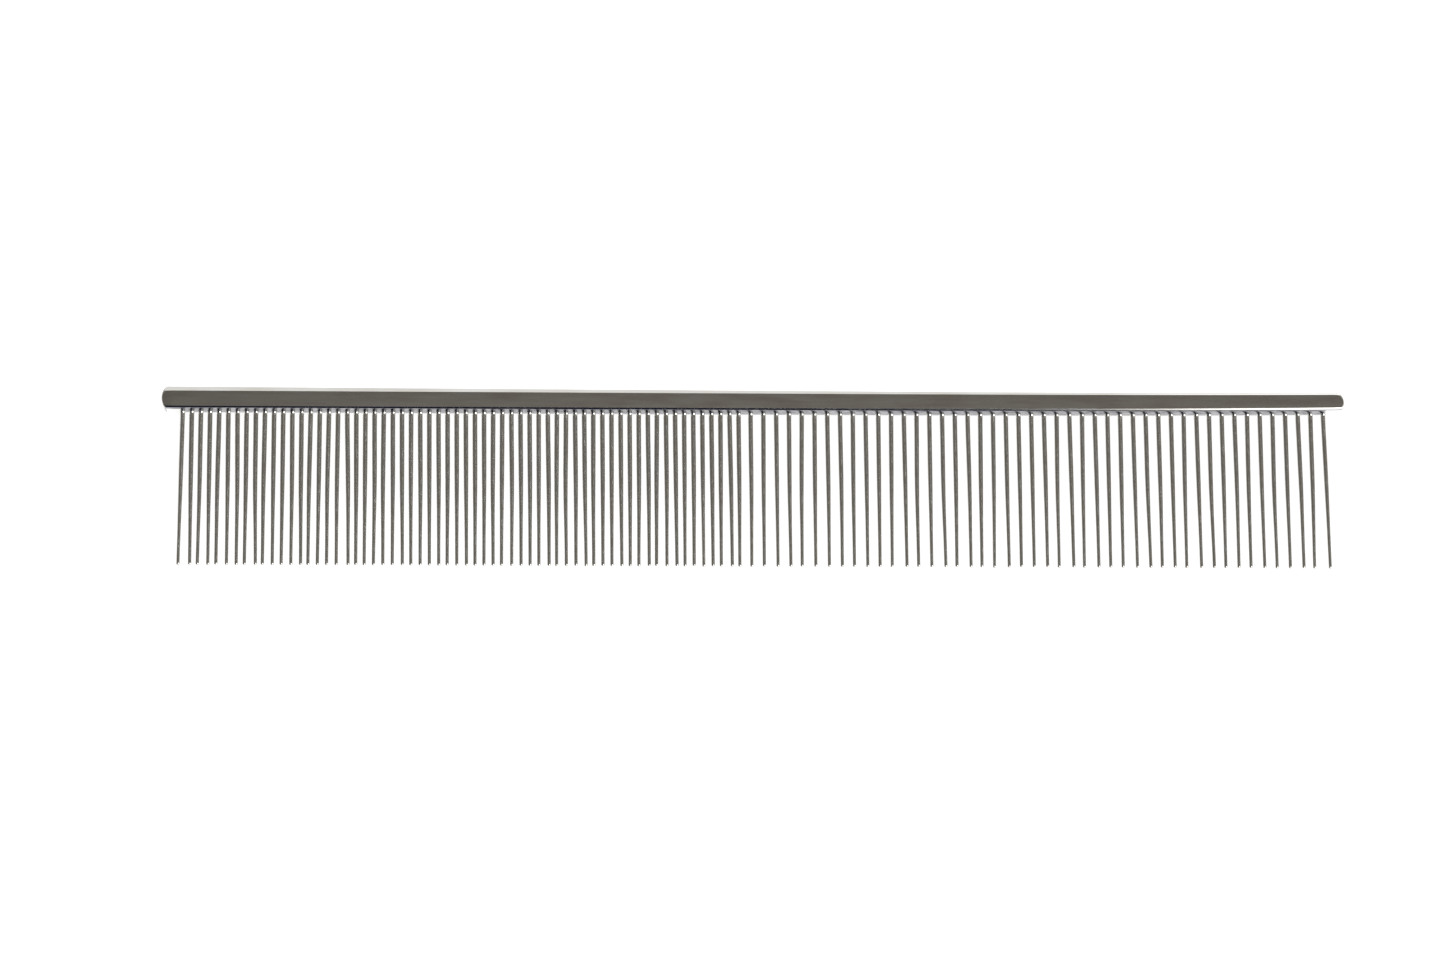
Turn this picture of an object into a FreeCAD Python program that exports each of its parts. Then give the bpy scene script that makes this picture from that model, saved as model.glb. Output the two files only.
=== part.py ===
import FreeCAD, Part
import math
import os
import random

# A steel grooming comb lying on its back: a solid rounded bar, the spine, with two sets of round
# tapered pins pressed into blind holes along one long side.
# Millimetres. X runs along the spine from the fine end to the coarse end, the pins point to -Y and
# the front face looks up. The origin is under the middle of the comb, on the surface it lies on.

# ---- driving dimensions ------------------------------------------------------------------------
SPINE_LENGTH = 250.6
SPINE_WIDTH = 5.25           # from the back edge to the crest of the pin side, at the fine end
BACK_TAPER = 0.50            # how much the back edge draws in on its way to the coarse end
PIN_SIDE_TAPER = 0.35        # how much the pin side draws in
SPINE_THICKNESS = 4.0        # from the back face to the front face
BACK_EDGE_RADIUS = 0.8       # the two long edges that the hand holds
PIN_EDGE_RADIUS = 0.6        # the two long edges beside the pins
PIN_EDGE_SWEEP = math.radians(60)   # how far they turn before the pin side's wide curve takes over
END_CROWN = 1.05             # how far each end stands out at its middle
END_EDGE_RADIUS = 0.3

FINE_PIN_COUNT = 62
FINE_PITCH = 1.923
COARSE_PIN_COUNT = 46
COARSE_PITCH = 2.711
GAP_BETWEEN_SETS = 2.55
FIRST_PIN_MARGIN = 4.4       # from the fine end of the spine to the first pin's axis

PIN_LENGTH = 33.05           # the part that stands out of the spine at its fine end
PIN_ROOT_RADIUS = 0.55
PIN_TIP_RADIUS = 0.38
PIN_TIP_ROUNDING = 0.24
TAPER_START = 0.22           # share of the pin's length where the ground taper starts
TAPER_END = 0.985            # and where it runs out
SHANK_DEPTH = 3.0            # the part pressed into the spine
SHANK_LEAD_IN = 0.15         # chamfer on the buried end

END_SPLAY = math.radians(0.45)      # how far the outermost pins fan out
LEAN_SCATTER = math.radians(0.24)   # how uneven the pins are, as hand-set pins are
BENT_FIRST_PIN = math.radians(-0.35)
BENT_LAST_PIN = math.radians(0.8)
SCATTER_SEED = 11

FINE_NODE_COUNT = 13         # the fine pins are grouped, four or five to a node
SPARE_WIDTH = 3.0            # how far the bars that shape the spine reach past its sides
SPARE_LENGTH = 1.0           # and past each of its ends
SMALLEST_GAP = 1e-6          # points nearer than this are one point

# ---- places that follow from them --------------------------------------------------------------
HALF_LENGTH = SPINE_LENGTH / 2
BACK_EDGE_Y = (SPINE_WIDTH + PIN_LENGTH) / 2
PIN_CREST_Y = BACK_EDGE_Y - SPINE_WIDTH
PIN_AXIS_Z = SPINE_THICKNESS / 2
PIN_SIDE_RADIUS = PIN_EDGE_RADIUS + (SPINE_THICKNESS / 2 - PIN_EDGE_RADIUS) / math.cos(PIN_EDGE_SWEEP)

X_AXIS = FreeCAD.Vector(1, 0, 0)
Y_AXIS = FreeCAD.Vector(0, 1, 0)
Z_AXIS = FreeCAD.Vector(0, 0, 1)


def arc_point(centre, radius, angle):
    """The point of a circle in the YZ plane at an angle from +Y."""
    return FreeCAD.Vector(0, centre[0] + radius * math.cos(angle), centre[1] + radius * math.sin(angle))


def rounded_section(crest_y, back_edge_y):
    """A cross-section in the YZ plane: rounded at the back, bowed outwards on the pin side."""
    quarter = math.pi / 2
    crest_centre_y = crest_y + PIN_SIDE_RADIUS
    edge_centre_y = crest_centre_y - (PIN_SIDE_RADIUS - PIN_EDGE_RADIUS) * math.sin(PIN_EDGE_SWEEP)
    back_centre_y = back_edge_y - BACK_EDGE_RADIUS
    high_edge_z = SPINE_THICKNESS - PIN_EDGE_RADIUS
    high_back_z = SPINE_THICKNESS - BACK_EDGE_RADIUS
    crest_sweep = math.pi - 2 * PIN_EDGE_SWEEP
    arcs = [
        ((back_centre_y, high_back_z), BACK_EDGE_RADIUS, 0.0, quarter),
        ((edge_centre_y, high_edge_z), PIN_EDGE_RADIUS, quarter, PIN_EDGE_SWEEP),
        ((crest_centre_y, PIN_AXIS_Z), PIN_SIDE_RADIUS, quarter + PIN_EDGE_SWEEP, crest_sweep),
        ((edge_centre_y, PIN_EDGE_RADIUS), PIN_EDGE_RADIUS, 3 * quarter - PIN_EDGE_SWEEP, PIN_EDGE_SWEEP),
        ((back_centre_y, BACK_EDGE_RADIUS), BACK_EDGE_RADIUS, 3 * quarter, quarter),
    ]
    edges = []
    ends = []
    for centre, radius, start_angle, sweep in arcs:
        start = arc_point(centre, radius, start_angle)
        middle = arc_point(centre, radius, start_angle + sweep / 2)
        end = arc_point(centre, radius, start_angle + sweep)
        if ends and ends[-1][1].distanceToPoint(start) > SMALLEST_GAP:
            edges.append(Part.LineSegment(ends[-1][1], start).toShape())
        edges.append(Part.Arc(start, middle, end).toShape())
        ends.append((start, end))
    edges.append(Part.LineSegment(ends[-1][1], ends[0][0]).toShape())
    return Part.Face(Part.Wire(edges))


def back_edge_at(x):
    """Where the back edge is, at a place along the spine."""
    return BACK_EDGE_Y - BACK_TAPER * (x + HALF_LENGTH) / SPINE_LENGTH


def pin_crest_at(x):
    """Where the crest of the pin side is, at a place along the spine."""
    return PIN_CREST_Y + PIN_SIDE_TAPER * (x + HALF_LENGTH) / SPINE_LENGTH


def crowned_outline():
    """The spine seen from the front: two straight long edges and two convex ends."""
    shoulder = HALF_LENGTH - END_CROWN
    back_left = FreeCAD.Vector(-shoulder, back_edge_at(-shoulder), 0)
    back_right = FreeCAD.Vector(shoulder, back_edge_at(shoulder), 0)
    pin_left = FreeCAD.Vector(-shoulder, pin_crest_at(-shoulder), 0)
    pin_right = FreeCAD.Vector(shoulder, pin_crest_at(shoulder), 0)
    left_tip = (back_left + pin_left) / 2 - X_AXIS * END_CROWN
    right_tip = (back_right + pin_right) / 2 + X_AXIS * END_CROWN
    edges = [
        Part.LineSegment(back_left, back_right).toShape(),
        Part.Arc(back_right, right_tip, pin_right).toShape(),
        Part.LineSegment(pin_right, pin_left).toShape(),
        Part.Arc(pin_left, left_tip, back_left).toShape(),
    ]
    return Part.Face(Part.Wire(edges))


def slanting_bar(crest_y, back_edge_y, drift):
    """A rounded bar that reaches past both ends of the spine and drifts sideways along it."""
    along = FreeCAD.Vector(SPINE_LENGTH, drift, 0)
    overrun = along * (SPARE_LENGTH / SPINE_LENGTH)
    bar = rounded_section(crest_y, back_edge_y).extrude(along + overrun * 2)
    bar.translate(-X_AXIS * HALF_LENGTH - overrun)
    return bar


def on_an_end(edge):
    """True for an edge of the rim of one of the crowned ends."""
    shoulder = HALF_LENGTH - END_CROWN
    beyond = all(abs(vertex.X) > shoulder - SMALLEST_GAP for vertex in edge.Vertexes)
    return beyond and edge.Length < HALF_LENGTH


def spine_blank():
    """The bar before its holes are drilled: tapered, rounded along its length, softened at its ends.

    Two slanting bars share it. One has the right back edge, the other the right pin side.
    """
    back_side = slanting_bar(PIN_CREST_Y - SPARE_WIDTH, BACK_EDGE_Y, -BACK_TAPER)
    pin_side = slanting_bar(PIN_CREST_Y, BACK_EDGE_Y + SPARE_WIDTH, PIN_SIDE_TAPER)
    ends = crowned_outline().extrude(Z_AXIS * SPINE_THICKNESS)
    blank = back_side.common(pin_side).common(ends)
    return blank.makeFillet(END_EDGE_RADIUS, [edge for edge in blank.Edges if on_an_end(edge)])


def taper_edges(start, foot):
    """The ground taper from start to foot: two equal arcs, tangent to the pin at both ends."""
    half_rise = (start.y - foot.y) / 2
    half_step = (start.x - foot.x) / 2
    radius = (half_rise ** 2 + half_step ** 2) / (2 * half_step)
    quarter_step = radius - math.sqrt(radius ** 2 - (half_rise / 2) ** 2)
    middle = (start + foot) / 2
    upper = FreeCAD.Vector(start.x - quarter_step, start.y - half_rise / 2, 0)
    lower = FreeCAD.Vector(foot.x + quarter_step, foot.y + half_rise / 2, 0)
    return [Part.Arc(start, upper, middle).toShape(), Part.Arc(middle, lower, foot).toShape()]


def chain(points):
    """Straight edges from each point to the next."""
    return [Part.LineSegment(a, b).toShape() for a, b in zip(points, points[1:])]


def pin_profile():
    """Half of a pin's outline in the XY plane, with its axis on Y and its root at y = 0."""
    flat_radius = PIN_TIP_RADIUS - PIN_TIP_ROUNDING
    diagonal = PIN_TIP_ROUNDING * math.sqrt(0.5)
    round_start = -PIN_LENGTH + PIN_TIP_ROUNDING
    buried_end = FreeCAD.Vector(0, SHANK_DEPTH, 0)
    taper_start = FreeCAD.Vector(PIN_ROOT_RADIUS, -PIN_LENGTH * TAPER_START, 0)
    taper_foot = FreeCAD.Vector(PIN_TIP_RADIUS, -PIN_LENGTH * TAPER_END, 0)
    tip_corner = FreeCAD.Vector(PIN_TIP_RADIUS, round_start, 0)
    tip_round = FreeCAD.Vector(flat_radius + diagonal, round_start - diagonal, 0)
    tip_flat = FreeCAD.Vector(flat_radius, -PIN_LENGTH, 0)
    shank = chain([
        buried_end,
        FreeCAD.Vector(PIN_ROOT_RADIUS - SHANK_LEAD_IN, SHANK_DEPTH, 0),
        FreeCAD.Vector(PIN_ROOT_RADIUS, SHANK_DEPTH - SHANK_LEAD_IN, 0),
        taper_start,
    ])
    tip = chain([taper_foot, tip_corner])
    tip.append(Part.Arc(tip_corner, tip_round, tip_flat).toShape())
    tip += chain([tip_flat, FreeCAD.Vector(0, -PIN_LENGTH, 0), buried_end])
    return Part.Face(Part.Wire(shank + taper_edges(taper_start, taper_foot) + tip))


def pin_positions():
    """Each pin's place along the spine, fine set first."""
    first = FIRST_PIN_MARGIN - HALF_LENGTH
    fine = [first + index * FINE_PITCH for index in range(FINE_PIN_COUNT)]
    first_coarse = fine[-1] + GAP_BETWEEN_SETS
    coarse = [first_coarse + index * COARSE_PITCH for index in range(COARSE_PIN_COUNT)]
    return fine, coarse


def pin_leans(positions):
    """Each pin's lean along the spine and towards the front, in radians."""
    scatter = random.Random(SCATTER_SEED)
    leans = []
    for x in positions:
        splay = END_SPLAY * (x / HALF_LENGTH) ** 3
        sideways = splay + scatter.gauss(0, LEAN_SCATTER)
        forwards = scatter.gauss(0, LEAN_SCATTER)
        leans.append((sideways, forwards))
    leans[0] = (leans[0][0] + BENT_FIRST_PIN, leans[0][1])
    leans[-1] = (leans[-1][0] + BENT_LAST_PIN, leans[-1][1])
    return leans


def placed(pin, x, lean):
    """A copy of the pin with its root at the crest of the spine's fine end, leaned about that root."""
    sideways, forwards = lean
    copy = pin.copy()
    origin = FreeCAD.Vector(0, 0, 0)
    copy.rotate(origin, Z_AXIS, math.degrees(sideways))
    copy.rotate(origin, X_AXIS, math.degrees(forwards))
    copy.translate(FreeCAD.Vector(x, PIN_CREST_Y, PIN_AXIS_Z))
    return copy


def revolved(profile):
    """A solid turned from a half outline round the Y axis."""
    solid = profile.revolve(FreeCAD.Vector(0, 0, 0), Y_AXIS, 360)
    return solid if solid.Volume > 0 else solid.reversed()


def write(name, shape):
    """Write one node's STEP file."""
    if not shape.isValid():
        raise ValueError(name + " is not a valid shape")
    shape.exportStep("parts/" + name + ".step")
    print(name, "solids", len(shape.Solids), "volume %.2f mm3" % shape.Volume)


def main():
    os.makedirs("parts", exist_ok=True)
    fine_x, coarse_x = pin_positions()
    every_x = fine_x + coarse_x
    leans = pin_leans(every_x)
    master_pin = revolved(pin_profile())
    pins = [placed(master_pin, x, lean) for x, lean in zip(every_x, leans)]
    fine_pins = pins[:FINE_PIN_COUNT]
    coarse_pins = pins[FINE_PIN_COUNT:]

    write("spine", spine_blank().cut(pins))

    bounds = [round(index * FINE_PIN_COUNT / FINE_NODE_COUNT) for index in range(FINE_NODE_COUNT + 1)]
    for number, (start, stop) in enumerate(zip(bounds, bounds[1:]), 1):
        write("fine_pins_%02d" % number, Part.makeCompound(fine_pins[start:stop]))
    for number, pin in enumerate(coarse_pins, 1):
        write("coarse_pin_%02d" % number, pin)


main()
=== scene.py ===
"""The looks of a steel grooming comb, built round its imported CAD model. Metres, in the CAD frame:
X runs along the spine from the close pins to the wide ones, the pins point to -Y, +Z is up."""

import math
import random

import bpy
from mathutils import Euler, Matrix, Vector, noise


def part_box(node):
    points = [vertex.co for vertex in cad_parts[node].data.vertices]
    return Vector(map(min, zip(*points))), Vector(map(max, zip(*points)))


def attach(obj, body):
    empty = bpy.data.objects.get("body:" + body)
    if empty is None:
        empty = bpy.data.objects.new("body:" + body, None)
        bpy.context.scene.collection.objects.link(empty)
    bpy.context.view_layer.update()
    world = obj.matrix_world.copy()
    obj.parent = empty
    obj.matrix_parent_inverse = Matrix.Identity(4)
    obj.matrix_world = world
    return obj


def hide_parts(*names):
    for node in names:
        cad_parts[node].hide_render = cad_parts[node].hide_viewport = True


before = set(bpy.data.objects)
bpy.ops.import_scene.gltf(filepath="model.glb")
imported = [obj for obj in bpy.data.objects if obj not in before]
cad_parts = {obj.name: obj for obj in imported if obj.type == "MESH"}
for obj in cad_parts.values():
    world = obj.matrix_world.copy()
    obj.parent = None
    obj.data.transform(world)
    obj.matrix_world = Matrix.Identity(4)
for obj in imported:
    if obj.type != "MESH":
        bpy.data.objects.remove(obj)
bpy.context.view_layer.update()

MM = 0.001

# ---- camera ------------------------------------------------------------------------------------
CAMERA_LENS = 149.5                    # the camera's own millimetres, as is the sensor's width
SENSOR_WIDTH = 36.0
FARTHEST_SEEN = 50.0
CAMERA_TILT = math.radians(13.25)      # away from straight down, towards the pin tips
CAMERA_YAW = math.radians(-2.90)
CAMERA_ROLL = math.radians(-0.45)
CAMERA_DISTANCE = 1.267
CAMERA_AIM = Vector((-7.1, -1.15, 2.0)) * MM

# ---- studio ------------------------------------------------------------------------------------
WALL_WHITE = (1.2, 1.2, 1.19, 1.0)
WALL_SUNLIT = (1.9, 1.9, 1.9, 1.0)
WINDOW_WHITE = (3.2, 3.2, 3.2, 1.0)
BELOW_WINDOW = (0.80, 0.80, 0.82, 1.0)
DARK_ROOM = (0.012, 0.017, 0.034, 1.0)
CEILING_LEFT = (0.162, 0.153, 0.140, 1.0)
CEILING_RIGHT = (0.200, 0.187, 0.170, 1.0)
SWEEP_WHITE = (1.1, 1.1, 1.1, 1.0)
# Where one part of the studio gives way to the next: from the first to the second value of the X,
# Y or Z of a unit direction.
CEILING_X = (-0.10, 0.03)              # from its left tone to its right tone
CEILING_Y = (-0.09, -0.05)             # from the dark room to the ceiling
WALL_Y = (0.345, 0.365)                # from the ceiling to the wall behind the back edge
SUNLIT_X = (0.105, 0.135)              # from the plain wall to its sunlit part
WINDOW_X = (0.120, 0.150)              # from the dark room or the ceiling to the window
WINDOW_TOP_Y = (0.10, 0.06)            # from above the window to the window
WINDOW_FOOT_Y = (-0.76, -0.72)         # from below the window to the window
BELOW_WINDOW_X = (0.131, 0.143)        # from the dark room to the grey wall below the window
SIDES_X = (0.50, 0.60)                 # from the front or the back to the grey sides
SIDES_Z = (0.38, 0.30)                 # from the ceiling down to the grey sides
SWEEP_Z = (0.03, 0.06)                 # from the white sweep up to everything else
LIGHT_STRENGTH = 2.2
LIGHT_SPREAD = math.radians(90)
LIGHT_TILT = math.radians(-20)
FLOOR_COLOUR = (0.15, 0.15, 0.15, 1.0)
FLOOR_GLOW = 0.92
FLOOR_HALF = 6.0

# ---- spine -------------------------------------------------------------------------------------
BACK_EDGE_RADIUS_FINE = 1.12 * MM      # at the fine end
BACK_EDGE_RADIUS_COARSE = 0.45 * MM
PIN_EDGE_RADIUS_FINE = 0.55 * MM
PIN_EDGE_RADIUS_COARSE = 0.75 * MM
PIN_EDGE_SWEEP = math.radians(60)      # how far the edge turns before the pin side's wide curve
BACK_TAPER = 0.81 * MM                 # how much the back edge draws in towards the coarse end
BACK_SWEEP = 0.42 * MM                 # how far it then curves back out close to that end
PIN_SIDE_SWEEP = 0.57 * MM             # how far the pin side curves in close to the coarse end
SWEEP_POWER = 6                        # the higher, the nearer to the end the curves are
END_CROWN = 1.05 * MM
END_EDGE_RADIUS = 0.3 * MM
CORNER_STEPS = 10
CREST_STEPS = 24
FLAT_STEPS = 12
SHORTEST_FLAT = 0.3 * MM               # a shorter gap between two arcs of the section is a joint
LENGTH_STEP = 1.0 * MM
END_ROUND_STEPS = 6
CAP_RINGS = (0.85, 0.65, 0.45, 0.25)   # rings on a crowned end, as shares of its rim
WAVE_HEIGHT = 0.004 * MM
WAVE_LENGTH = 20.0 * MM                # the waves' size along the spine, and then across it
WAVE_WIDTH = MM / 0.7

# ---- spine steel -------------------------------------------------------------------------------
BRUSH_SCALE = (60.0, 9000.0, 9000.0)   # how fine a noise is along X, Y and Z, per metre
BRUSH_SHADE = (0.95, 1.04)             # from the darkest to the brightest brush mark
BRUSH_ROUGHNESS = (0.07, 0.11)
BRUSH_BUMP = 0.03
PATCH_SCALE = (90.0, 500.0, 500.0)
PATCH_TINTS = [(0.30, (0.56, 0.54, 0.50)), (0.50, (0.62, 0.605, 0.575)), (0.70, (0.66, 0.66, 0.64))]
FRONT_RAMP_Y = (18.2 * MM, 14.8 * MM)        # the front's colour grows brighter towards the pins
FRONT_RAMP_TONE = (0.93, 1.06)
DULL_SHADE_NORMAL_Y = (-0.68, -0.72)         # the pin side turns rougher and takes painted shade where it faces the tips this much
DULL_SHADE_SHIFT = 0.20                      # and that much less at the coarse end
DULL_ROUGHER = 0.05
# painted shade: mottled dark tints between the pins stand in for the shadow reflected in that face
SHADE_MOTTLE_SCALE = (500.0, 1500.0, 1500.0)
PAINTED_SHADE_TINTS = [(0.35, (0.28, 0.275, 0.29)), (0.65, (0.48, 0.475, 0.49))]
PIN_FIELD_HALF = 121.5 * MM            # how far from the middle the outermost pins stand
PIN_FIELD_EDGE = 0.6 * MM
LINE_NORMAL_Y = (-0.93, -0.90)         # past those pins the painted shade keeps only to where the face turns less than this towards the tips; where it turns more, it gets a painted reflection, nearly white
PAINTED_REFLECTION_TINT = (0.93, 0.93, 0.92, 1.0)

# ---- pins --------------------------------------------------------------------------------------
ROOT_FILLET_LENGTH = 0.36 * MM
ROOT_FILLET_HEIGHT = 0.20 * MM
ROOT_OVERLAP = 0.03 * MM               # how far the fillet runs into the spine
TAPER_START = 0.22                     # where the taper starts and ends, in shares of a pin's length
TAPER_END = 0.985
TIP_ROUNDING = 0.24 * MM
PIN_SIDES = 32
FILLET_STEPS = 10
TAPER_STEPS = 22
TIP_STEPS = 4
PIN_BOW = 0.05 * MM                    # spread of the pins' bows
BOW_SEED = 5

# ---- pin steel ---------------------------------------------------------------------------------
GRIND_SCALE = (7000.0, 500.0, 7000.0)
GRIND_ROUGHNESS = (0.08, 0.20)
GRIND_BUMP = 0.05
STAIN_SCALE = (900.0, 250.0, 900.0)
STAIN_TINTS = [(0.30, (0.665, 0.645, 0.605)), (0.70, (0.705, 0.705, 0.685))]

# ---- both steels -------------------------------------------------------------------------------
NOISE_SPAN = (0.3, 0.7)                # nearly all of a noise's values lie in this span
BUMP_DEPTH = 0.02 * MM


def linked(name, mesh, material):
    """A new smooth-shaded object with one material."""
    piece = bpy.data.objects.new(name, mesh)
    bpy.context.scene.collection.objects.link(piece)
    mesh.materials.append(material)
    for polygon in mesh.polygons:
        polygon.use_smooth = True
    return piece


class Nodes:
    """Short calls for making and joining the nodes of one tree."""

    def __init__(self, tree):
        self.tree = tree
        tree.nodes.clear()

    def add(self, kind, inputs=(), **settings):
        node = self.tree.nodes.new(kind)
        for key, value in settings.items():
            setattr(node, key, value)
        for key, value in dict(inputs).items():
            if isinstance(value, bpy.types.NodeSocket):
                self.tree.links.new(value, node.inputs[key])
            else:
                node.inputs[key].default_value = value
        return node

    def ramp(self, factor, stops):
        node = self.add("ShaderNodeValToRGB", {"Fac": factor})
        elements = node.color_ramp.elements
        while len(elements) < len(stops):
            elements.new(1.0)
        for element, (place, colour) in zip(elements, stops):
            element.position = place
            element.color = (*colour, 1.0)
        return node.outputs["Color"]

    def between(self, value, low, high, to_low=0.0, to_high=1.0, smooth=False):
        kind = "SMOOTHSTEP" if smooth else "LINEAR"
        node = self.add(
            "ShaderNodeMapRange",
            {"Value": value, "From Min": low, "From Max": high, "To Min": to_low, "To Max": to_high},
            interpolation_type=kind,
        )
        return node.outputs["Result"]

    def math(self, operation, first, second=0.0):
        node = self.add("ShaderNodeMath", {0: first, 1: second}, operation=operation)
        return node.outputs["Value"]

    def mix(self, factor, first, second, blend="MIX"):
        """A colour mix. The Mix node's sockets share names, so its colour ones go by number."""
        node = self.tree.nodes.new("ShaderNodeMix")
        node.data_type = "RGBA"
        node.blend_type = blend
        for index, value in ((0, factor), (6, first), (7, second)):
            if isinstance(value, bpy.types.NodeSocket):
                self.tree.links.new(value, node.inputs[index])
            else:
                node.inputs[index].default_value = value
        return node.outputs[2]


# ---- studio ------------------------------------------------------------------------------------
def make_world():
    """A photographer's studio by direction: a white wall behind the comb's back edge, a grey ceiling
    and grey sides that its polished faces reflect, a dark room towards the pin tips and a bright
    window a little to the right, over a grey wall. Low down it is white all round, so that the sweep
    has no far edge."""
    world = bpy.data.worlds.new("studio")
    bpy.context.scene.world = world
    world.use_nodes = True
    nodes = Nodes(world.node_tree)
    direction = nodes.add("ShaderNodeTexCoord").outputs["Generated"]
    split = nodes.add("ShaderNodeSeparateXYZ", {"Vector": direction})
    x, y, z = (split.outputs[axis] for axis in "XYZ")
    wall = nodes.mix(nodes.between(x, *SUNLIT_X, smooth=True), WALL_WHITE, WALL_SUNLIT)
    grey = nodes.mix(nodes.between(x, *CEILING_X), CEILING_LEFT, CEILING_RIGHT)
    ceiling = nodes.mix(nodes.between(y, *CEILING_Y), DARK_ROOM, grey)
    window = nodes.math("MULTIPLY", nodes.between(x, *WINDOW_X), nodes.between(y, *WINDOW_TOP_Y))
    high_front = nodes.mix(window, ceiling, WINDOW_WHITE)
    low_front = nodes.mix(nodes.between(x, *BELOW_WINDOW_X), DARK_ROOM, BELOW_WINDOW)
    front = nodes.mix(nodes.between(y, *WINDOW_FOOT_Y), low_front, high_front)
    aside = nodes.between(nodes.math("ABSOLUTE", x), *SIDES_X, smooth=True)
    low_aside = nodes.math("MULTIPLY", aside, nodes.between(z, *SIDES_Z))
    before = nodes.mix(low_aside, front, grey)
    behind = nodes.mix(aside, wall, grey)
    overhead = nodes.mix(nodes.between(y, *WALL_Y), before, behind)
    colour = nodes.mix(nodes.between(z, *SWEEP_Z, smooth=True), SWEEP_WHITE, overhead)
    background = nodes.add("ShaderNodeBackground", {"Color": colour, "Strength": 1.0})
    nodes.add("ShaderNodeOutputWorld", {"Surface": background.outputs["Background"]})


def make_floor():
    """A white light table under the comb."""
    material = bpy.data.materials.new("white_sweep")
    material.use_nodes = True
    nodes = Nodes(material.node_tree)
    shader = nodes.add("ShaderNodeBsdfPrincipled", {
        "Base Color": FLOOR_COLOUR,
        "Roughness": 1.0,
        "Specular IOR Level": 0.0,
        "Emission Color": (1.0, 1.0, 1.0, 1.0),
        "Emission Strength": FLOOR_GLOW,
    })
    nodes.add("ShaderNodeOutputMaterial", {"Surface": shader.outputs["BSDF"]})
    mesh = bpy.data.meshes.new("floor")
    signs = ((-1, -1), (1, -1), (1, 1), (-1, 1))
    corners = [(FLOOR_HALF * x_sign, FLOOR_HALF * y_sign, 0.0) for x_sign, y_sign in signs]
    mesh.from_pydata(corners, [], [(0, 1, 2, 3)])
    floor = linked("floor", mesh, material)


def make_light():
    """A very wide, soft light from above, a little from the pin side."""
    data = bpy.data.lights.new("soft_light", "SUN")
    data.energy = LIGHT_STRENGTH
    data.angle = LIGHT_SPREAD
    light = bpy.data.objects.new("soft_light", data)
    bpy.context.scene.collection.objects.link(light)
    light.rotation_euler = (LIGHT_TILT, 0.0, 0.0)
    light.visible_camera = False
    light.visible_glossy = False


def make_camera():
    """The camera stands almost over the comb, tilted towards the pin tips."""
    data = bpy.data.cameras.new("camera")
    data.lens = CAMERA_LENS
    data.sensor_width = SENSOR_WIDTH
    data.clip_end = FARTHEST_SEEN
    camera = bpy.data.objects.new("camera", data)
    bpy.context.scene.collection.objects.link(camera)
    turn = Euler((CAMERA_TILT, CAMERA_YAW, CAMERA_ROLL), "XYZ")
    camera.rotation_euler = turn
    camera.location = CAMERA_AIM + turn.to_matrix() @ Vector((0.0, 0.0, CAMERA_DISTANCE))
    bpy.context.scene.camera = camera


# ---- materials ---------------------------------------------------------------------------------
def stretched(nodes, scale):
    """Object coordinates scaled unevenly, so that a noise drawn on them runs along one axis."""
    place = nodes.add("ShaderNodeTexCoord").outputs["Object"]
    mapping = nodes.add("ShaderNodeMapping", {"Vector": place, "Scale": scale})
    return mapping.outputs["Vector"]


def noise_at(nodes, vector, detail, roughness=0.5):
    node = nodes.add(
        "ShaderNodeTexNoise", {"Vector": vector, "Scale": 1.0, "Detail": detail, "Roughness": roughness}
    )
    return node.outputs["Fac"]


def finish_steel(nodes, colour, roughness, relief, bump_strength):
    """Ends a tree with a metal shader that is bumped by a noise."""
    bump = nodes.add(
        "ShaderNodeBump", {"Height": relief, "Strength": bump_strength, "Distance": BUMP_DEPTH}
    )
    shader = nodes.add("ShaderNodeBsdfPrincipled", {
        "Base Color": colour, "Metallic": 1.0, "Roughness": roughness, "Normal": bump.outputs["Normal"],
    })
    nodes.add("ShaderNodeOutputMaterial", {"Surface": shader.outputs["BSDF"]})


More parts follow.
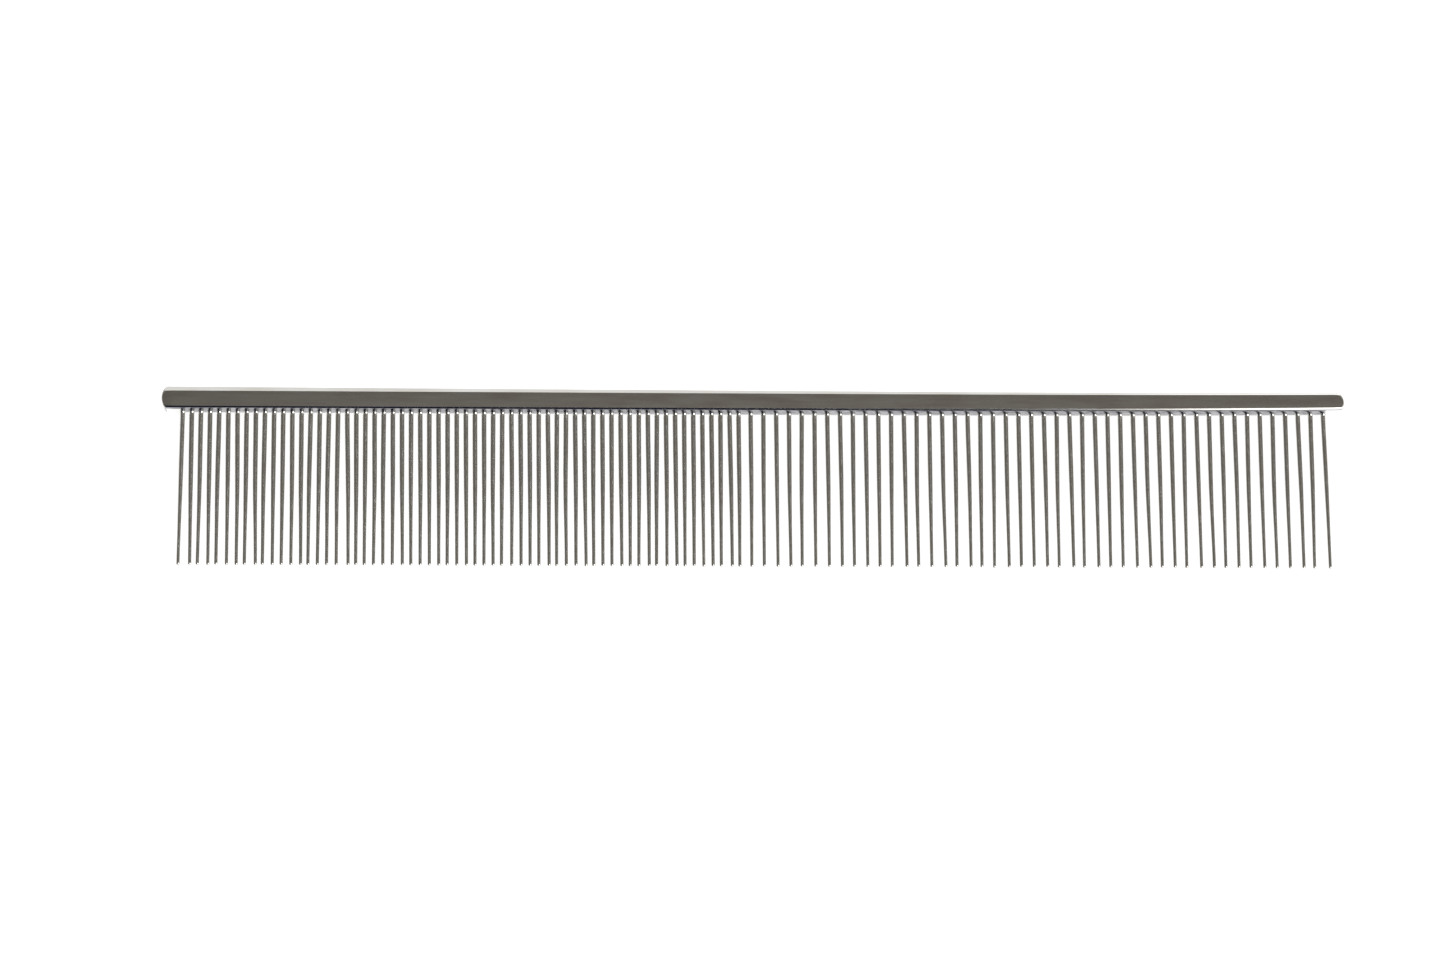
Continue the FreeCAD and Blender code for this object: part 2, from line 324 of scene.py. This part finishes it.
def make_spine_steel():
    """Nickel plate over a bar that was brushed along its length to a satin finish, faintly stained, its
    front brighter towards the pins. The face between the pins is rougher and darkened with mottled
    painted shade; past the pins that face is brightened nearly to white as a painted reflection."""
    material = bpy.data.materials.new("spine_steel")
    material.use_nodes = True
    nodes = Nodes(material.node_tree)
    place = nodes.add("ShaderNodeTexCoord").outputs["Object"]
    at = nodes.add("ShaderNodeSeparateXYZ", {"Vector": place})
    facing = nodes.add("ShaderNodeNewGeometry").outputs["Normal"]
    towards_tips = nodes.add("ShaderNodeSeparateXYZ", {"Vector": facing}).outputs["Y"]

    brush = noise_at(nodes, stretched(nodes, BRUSH_SCALE), detail=4.0, roughness=0.65)
    patches = noise_at(nodes, stretched(nodes, PATCH_SCALE), detail=3.0)
    shade_mottle = noise_at(nodes, stretched(nodes, SHADE_MOTTLE_SCALE), detail=3.0)
    front_ramp = nodes.between(at.outputs["Y"], *FRONT_RAMP_Y, *FRONT_RAMP_TONE)
    streaks = nodes.math("MULTIPLY", nodes.between(brush, *NOISE_SPAN, *BRUSH_SHADE), front_ramp)
    polished = nodes.mix(1.0, nodes.ramp(patches, PATCH_TINTS), streaks, "MULTIPLY")

    shift = nodes.between(at.outputs["X"], 0.0, PIN_FIELD_HALF, 0.0, DULL_SHADE_SHIFT)
    leaning = nodes.math("SUBTRACT", towards_tips, shift)
    near_face = nodes.between(leaning, *DULL_SHADE_NORMAL_Y)
    along = nodes.math("ABSOLUTE", at.outputs["X"])
    among_pins = nodes.between(along, PIN_FIELD_HALF, PIN_FIELD_HALF - PIN_FIELD_EDGE)
    line = nodes.between(leaning, *LINE_NORMAL_Y)
    dull_and_shaded = nodes.math("MULTIPLY", near_face, nodes.math("MAXIMUM", among_pins, line))
    # painted reflection: past the pins, where the face looks at the tips, its colour is raised nearly
    # to white
    painted_bright_end = nodes.math("MULTIPLY", near_face, nodes.math("SUBTRACT", 1.0, dull_and_shaded))
    bright = nodes.mix(painted_bright_end, polished, PAINTED_REFLECTION_TINT)
    # painted shade: the face between the pins takes the mottled dark tints
    colour = nodes.mix(dull_and_shaded, bright, nodes.ramp(shade_mottle, PAINTED_SHADE_TINTS))
    satin = nodes.between(brush, *NOISE_SPAN, *BRUSH_ROUGHNESS)
    roughness = nodes.math("ADD", satin, nodes.math("MULTIPLY", dull_and_shaded, DULL_ROUGHER))
    finish_steel(nodes, colour, roughness, brush, BRUSH_BUMP)
    return material


def make_pin_steel():
    """Bright nickel plate, faintly stained, with fine grinding marks along each pin."""
    material = bpy.data.materials.new("pin_steel")
    material.use_nodes = True
    nodes = Nodes(material.node_tree)
    grind = noise_at(nodes, stretched(nodes, GRIND_SCALE), detail=3.0)
    stain = noise_at(nodes, stretched(nodes, STAIN_SCALE), detail=2.0)
    colour = nodes.ramp(stain, STAIN_TINTS)
    roughness = nodes.between(grind, *NOISE_SPAN, *GRIND_ROUGHNESS)
    finish_steel(nodes, colour, roughness, grind, GRIND_BUMP)
    return material


# ---- spine -------------------------------------------------------------------------------------
def share_along(x, low, high):
    """How far along the spine a place is, from 0 at the fine end to 1 at the coarse end."""
    return (x - low.x) / (high.x - low.x)


def crest_at(x, low, high):
    """The y of the pin side's crest."""
    return low.y + PIN_SIDE_SWEEP * share_along(x, low, high) ** SWEEP_POWER


def back_edge_at(x, low, high):
    """The y of the back edge."""
    share = share_along(x, low, high)
    return high.y - BACK_TAPER * share + BACK_SWEEP * share ** SWEEP_POWER


def pin_side_radii(x, low, high):
    """The radii of the pin side's two long edges and of the wide curve between them."""
    share = share_along(x, low, high)
    half_thickness = (high.z - low.z) / 2
    edge_radius = PIN_EDGE_RADIUS_FINE + (PIN_EDGE_RADIUS_COARSE - PIN_EDGE_RADIUS_FINE) * share ** 2
    return edge_radius, edge_radius + (half_thickness - edge_radius) / math.cos(PIN_EDGE_SWEEP)


def arc_points(centre_y, centre_z, radius, start, end, steps):
    """Points in (y, z) along an arc, from one angle to another."""
    angles = [start + (end - start) * step / steps for step in range(steps + 1)]
    return [Vector((centre_y + radius * math.cos(a), centre_z + radius * math.sin(a))) for a in angles]


def section_loop(x, low, high, inset):
    """Points of the spine's cross-section in (y, z) at a place along it, inset all round."""
    quarter = 0.5 * math.pi
    share = share_along(x, low, high)
    back_radius = BACK_EDGE_RADIUS_FINE + (BACK_EDGE_RADIUS_COARSE - BACK_EDGE_RADIUS_FINE) * share
    back_y = back_edge_at(x, low, high) - back_radius
    edge_radius, side_radius = pin_side_radii(x, low, high)
    side_y = crest_at(x, low, high) + side_radius
    edge_y = side_y - (side_radius - edge_radius) * math.sin(PIN_EDGE_SWEEP)
    side_start = quarter + PIN_EDGE_SWEEP
    side_end = 3 * quarter - PIN_EDGE_SWEEP
    arcs = (
        (back_y, high.z - back_radius, back_radius, 0.0, quarter, CORNER_STEPS),
        (edge_y, high.z - edge_radius, edge_radius, quarter, side_start, CORNER_STEPS),
        (side_y, (low.z + high.z) / 2, side_radius, side_start, side_end, CREST_STEPS),
        (edge_y, low.z + edge_radius, edge_radius, side_end, 3 * quarter, CORNER_STEPS),
        (back_y, low.z + back_radius, back_radius, 3 * quarter, 4 * quarter, CORNER_STEPS),
    )
    runs = [arc_points(y, z, radius - inset, *rest) for y, z, radius, *rest in arcs]
    points = []
    for run, following in zip(runs, runs[1:] + runs[:1]):
        gap = (following[0] - run[-1]).length
        points += run if gap > SHORTEST_FLAT else run[:-1]
        if gap > SHORTEST_FLAT:
            points += [run[-1].lerp(following[0], step / FLAT_STEPS) for step in range(1, FLAT_STEPS)]
    return points


def end_place(y, end_x, low, high):
    """How far out along X a crowned end reaches at a height y. The end is at end_x."""
    back = back_edge_at(end_x, low, high)
    crest = crest_at(end_x, low, high)
    half = (back - crest) / 2
    radius = (half ** 2 + END_CROWN ** 2) / (2 * END_CROWN)
    drop = radius - math.sqrt(radius ** 2 - (y - (back + crest) / 2) ** 2)
    return end_x - math.copysign(drop, end_x)


def waved(point, middle):
    """The point moved a few thousandths of a millimetre, as hand polishing leaves a long bar."""
    outwards = Vector((0.0, point.y - middle.y, point.z - middle.z)).normalized()
    height = noise.noise(Vector((point.x / WAVE_LENGTH, point.y / WAVE_WIDTH, point.z / WAVE_WIDTH)))
    return point - outwards * WAVE_HEIGHT * (0.5 + 0.5 * height)


def end_rings(end_x, low, high):
    """Rings from the straight part of the bar over one end's softened rim and on to its middle."""
    outwards = math.copysign(1.0, end_x)
    rings = []
    for step in range(END_ROUND_STEPS + 1):
        angle = 0.5 * math.pi * step / END_ROUND_STEPS
        inset = END_EDGE_RADIUS * (1 - math.cos(angle))
        back = END_EDGE_RADIUS * (1 - math.sin(angle))
        rings.append([
            Vector((end_place(y, end_x, low, high) - outwards * back, y, z))
            for y, z in section_loop(end_x, low, high, inset)
        ])
    middle = centre_of(rings[-1])
    for share in CAP_RINGS:
        ring = []
        for point in rings[END_ROUND_STEPS]:
            y = middle.y + (point.y - middle.y) * share
            z = middle.z + (point.z - middle.z) * share
            ring.append(Vector((end_place(y, end_x, low, high), y, z)))
        rings.append(ring)
    return rings


def make_spine(material):
    """The tapered bar: rings of its cross-section from end to end, with crowned, softened ends."""
    low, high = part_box("spine")
    middle = (low + high) / 2
    inner_half = high.x - END_CROWN - END_EDGE_RADIUS - LENGTH_STEP
    count = round(2 * inner_half / LENGTH_STEP)
    body = []
    for index in range(count + 1):
        x = -inner_half + 2 * inner_half * index / count
        body.append([waved(Vector((x, y, z)), middle) for y, z in section_loop(x, low, high, 0.0)])
    fine_end = end_rings(low.x, low, high)
    coarse_end = end_rings(high.x, low, high)
    rings = fine_end[::-1] + body + coarse_end
    vertices = [point for ring in rings for point in ring]
    size = len(rings[0])
    faces = []
    for row in range(len(rings) - 1):
        ring = row * size
        next_ring = ring + size
        for column in range(size):
            following = (column + 1) % size
            faces.append((ring + column, ring + following, next_ring + following, next_ring + column))
    for tip_x, row in ((low.x, 0), (high.x, len(rings) - 1)):
        hub = len(vertices)
        vertices.append(Vector((tip_x, centre_of(rings[row]).y, middle.z)))
        for column in range(size):
            pair = (row * size + column, row * size + (column + 1) % size)
            faces.append((hub, pair[1], pair[0]) if row == 0 else (hub, pair[0], pair[1]))
    mesh = bpy.data.meshes.new("spine_bar")
    mesh.from_pydata(vertices, [], faces)
    piece = linked("spine_bar", mesh, material)
    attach(piece, "root")
    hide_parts("spine")


# ---- pins --------------------------------------------------------------------------------------
def clusters(points):
    """Points sorted along X and parted wherever they leave a gap, as between two pins."""
    gap = 0.5 * MM
    ordered = sorted(points, key=lambda p: p.x)
    groups = [[ordered[0]]]
    for previous, point in zip(ordered, ordered[1:]):
        if point.x - previous.x > gap:
            groups.append([])
        groups[-1].append(point)
    return groups


def centre_of(points):
    """The middle of the box round some points."""
    low = Vector([min(p[axis] for p in points) for axis in range(3)])
    high = Vector([max(p[axis] for p in points) for axis in range(3)])
    return (low + high) / 2


def pin_axes(node):
    """The buried end and the tip of each pin in a CAD node, from the fine end on."""
    band = 0.1 * MM
    points = [vertex.co.copy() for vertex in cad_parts[node].data.vertices]
    highest = max(p.y for p in points)
    lowest = min(p.y for p in points)
    buried = clusters([p for p in points if p.y > highest - band])
    tips = clusters([p for p in points if p.y < lowest + band])
    return [(centre_of(a), centre_of(b)) for a, b in zip(buried, tips)]


def pin_radii(node):
    """The pins' radius at the root and just above the rounded tip."""
    buried, tip = pin_axes(node)[0]
    axis = (tip - buried).normalized()
    length = (tip - buried).length
    nearby = 1.0 * MM
    root_radius = 0.0
    tip_radius = 0.0
    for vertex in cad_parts[node].data.vertices:
        along = (vertex.co - buried).dot(axis)
        away = (vertex.co - buried - axis * along).length
        if away < nearby:
            root_radius = max(root_radius, away)
            if along > length - nearby:
                tip_radius = max(tip_radius, away)
    return root_radius, tip_radius


def pin_outline(length, root_radius, tip_radius):
    """(distance from the root, radius) from the plating fillet at the root to the tip."""
    outline = []
    for step in range(FILLET_STEPS + 1):
        angle = 0.5 * math.pi * step / FILLET_STEPS
        along = ROOT_FILLET_LENGTH * (1 - math.cos(angle)) - ROOT_OVERLAP
        outline.append((along, root_radius + ROOT_FILLET_HEIGHT * (1 - math.sin(angle))))
    start = length * TAPER_START
    end = length * TAPER_END
    outline.append((start * 0.5, root_radius))
    half = (end - start) / 2
    step_in = (root_radius - tip_radius) / 2
    bend = (half ** 2 + step_in ** 2) / (2 * step_in)
    for step in range(TAPER_STEPS + 1):
        along = (end - start) * step / TAPER_STEPS
        if along < half:
            radius = root_radius - bend + math.sqrt(bend ** 2 - along ** 2)
        else:
            radius = tip_radius + bend - math.sqrt(bend ** 2 - (2 * half - along) ** 2)
        outline.append((start + along, radius))
    for step in range(TIP_STEPS + 1):
        angle = 0.5 * math.pi * step / TIP_STEPS
        outline.append((
            length - TIP_ROUNDING * (1 - math.sin(angle)),
            tip_radius - TIP_ROUNDING * (1 - math.cos(angle)),
        ))
    return outline


def add_pin(vertices, faces, buried, tip, box, radii, chance):
    """Adds one pin's rings and tip to a mesh, with the slight bow of a hand-straightened wire."""
    low, high = box
    axis = (tip - buried).normalized()
    root = buried + axis * ((crest_at(buried.x, low, high) - buried.y) / axis.y)
    side_radius = pin_side_radii(root.x, low, high)[1]
    length = (tip - root).length
    side = axis.cross(Vector((0.0, 0.0, 1.0))).normalized()
    front = side.cross(axis).normalized()
    bow_side = chance.gauss(0.0, PIN_BOW)
    bow_front = chance.gauss(0.0, PIN_BOW)
    first = len(vertices)
    outline = pin_outline(length, *radii)
    for along, radius in outline:
        bow = math.sin(math.pi * max(0.0, along) / length) ** 2
        centre = root + axis * along + (side * bow_side + front * bow_front) * bow
        fade = max(0.0, 1 - along / ROOT_FILLET_LENGTH)
        for index in range(PIN_SIDES):
            angle = 2 * math.pi * index / PIN_SIDES
            point = centre + (side * math.cos(angle) + front * math.sin(angle)) * radius
            point.y += fade * (side_radius - math.sqrt(side_radius ** 2 - (point.z - root.z) ** 2))
            vertices.append(point)
    for row in range(len(outline) - 1):
        ring = first + row * PIN_SIDES
        next_ring = ring + PIN_SIDES
        for column in range(PIN_SIDES):
            following = (column + 1) % PIN_SIDES
            faces.append((ring + following, ring + column, next_ring + column, next_ring + following))
    last = first + (len(outline) - 1) * PIN_SIDES
    faces.append([last + column for column in reversed(range(PIN_SIDES))])
    faces.append([first + column for column in range(PIN_SIDES)])


def make_pins(material):
    """A detailed piece for every CAD node of pins."""
    chance = random.Random(BOW_SEED)
    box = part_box("spine")
    names = sorted(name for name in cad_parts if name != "spine")
    radii = pin_radii(names[0])
    for name in names:
        vertices = []
        faces = []
        for buried, tip in pin_axes(name):
            add_pin(vertices, faces, buried, tip, box, radii, chance)
        mesh = bpy.data.meshes.new(name + "_wire")
        mesh.from_pydata(vertices, [], faces)
        piece = linked(name + "_wire", mesh, material)
        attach(piece, "root")
        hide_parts(name)


make_world()
make_floor()
make_light()
make_camera()
bpy.context.scene.view_settings.view_transform = "Standard"
make_spine(make_spine_steel())
make_pins(make_pin_steel())
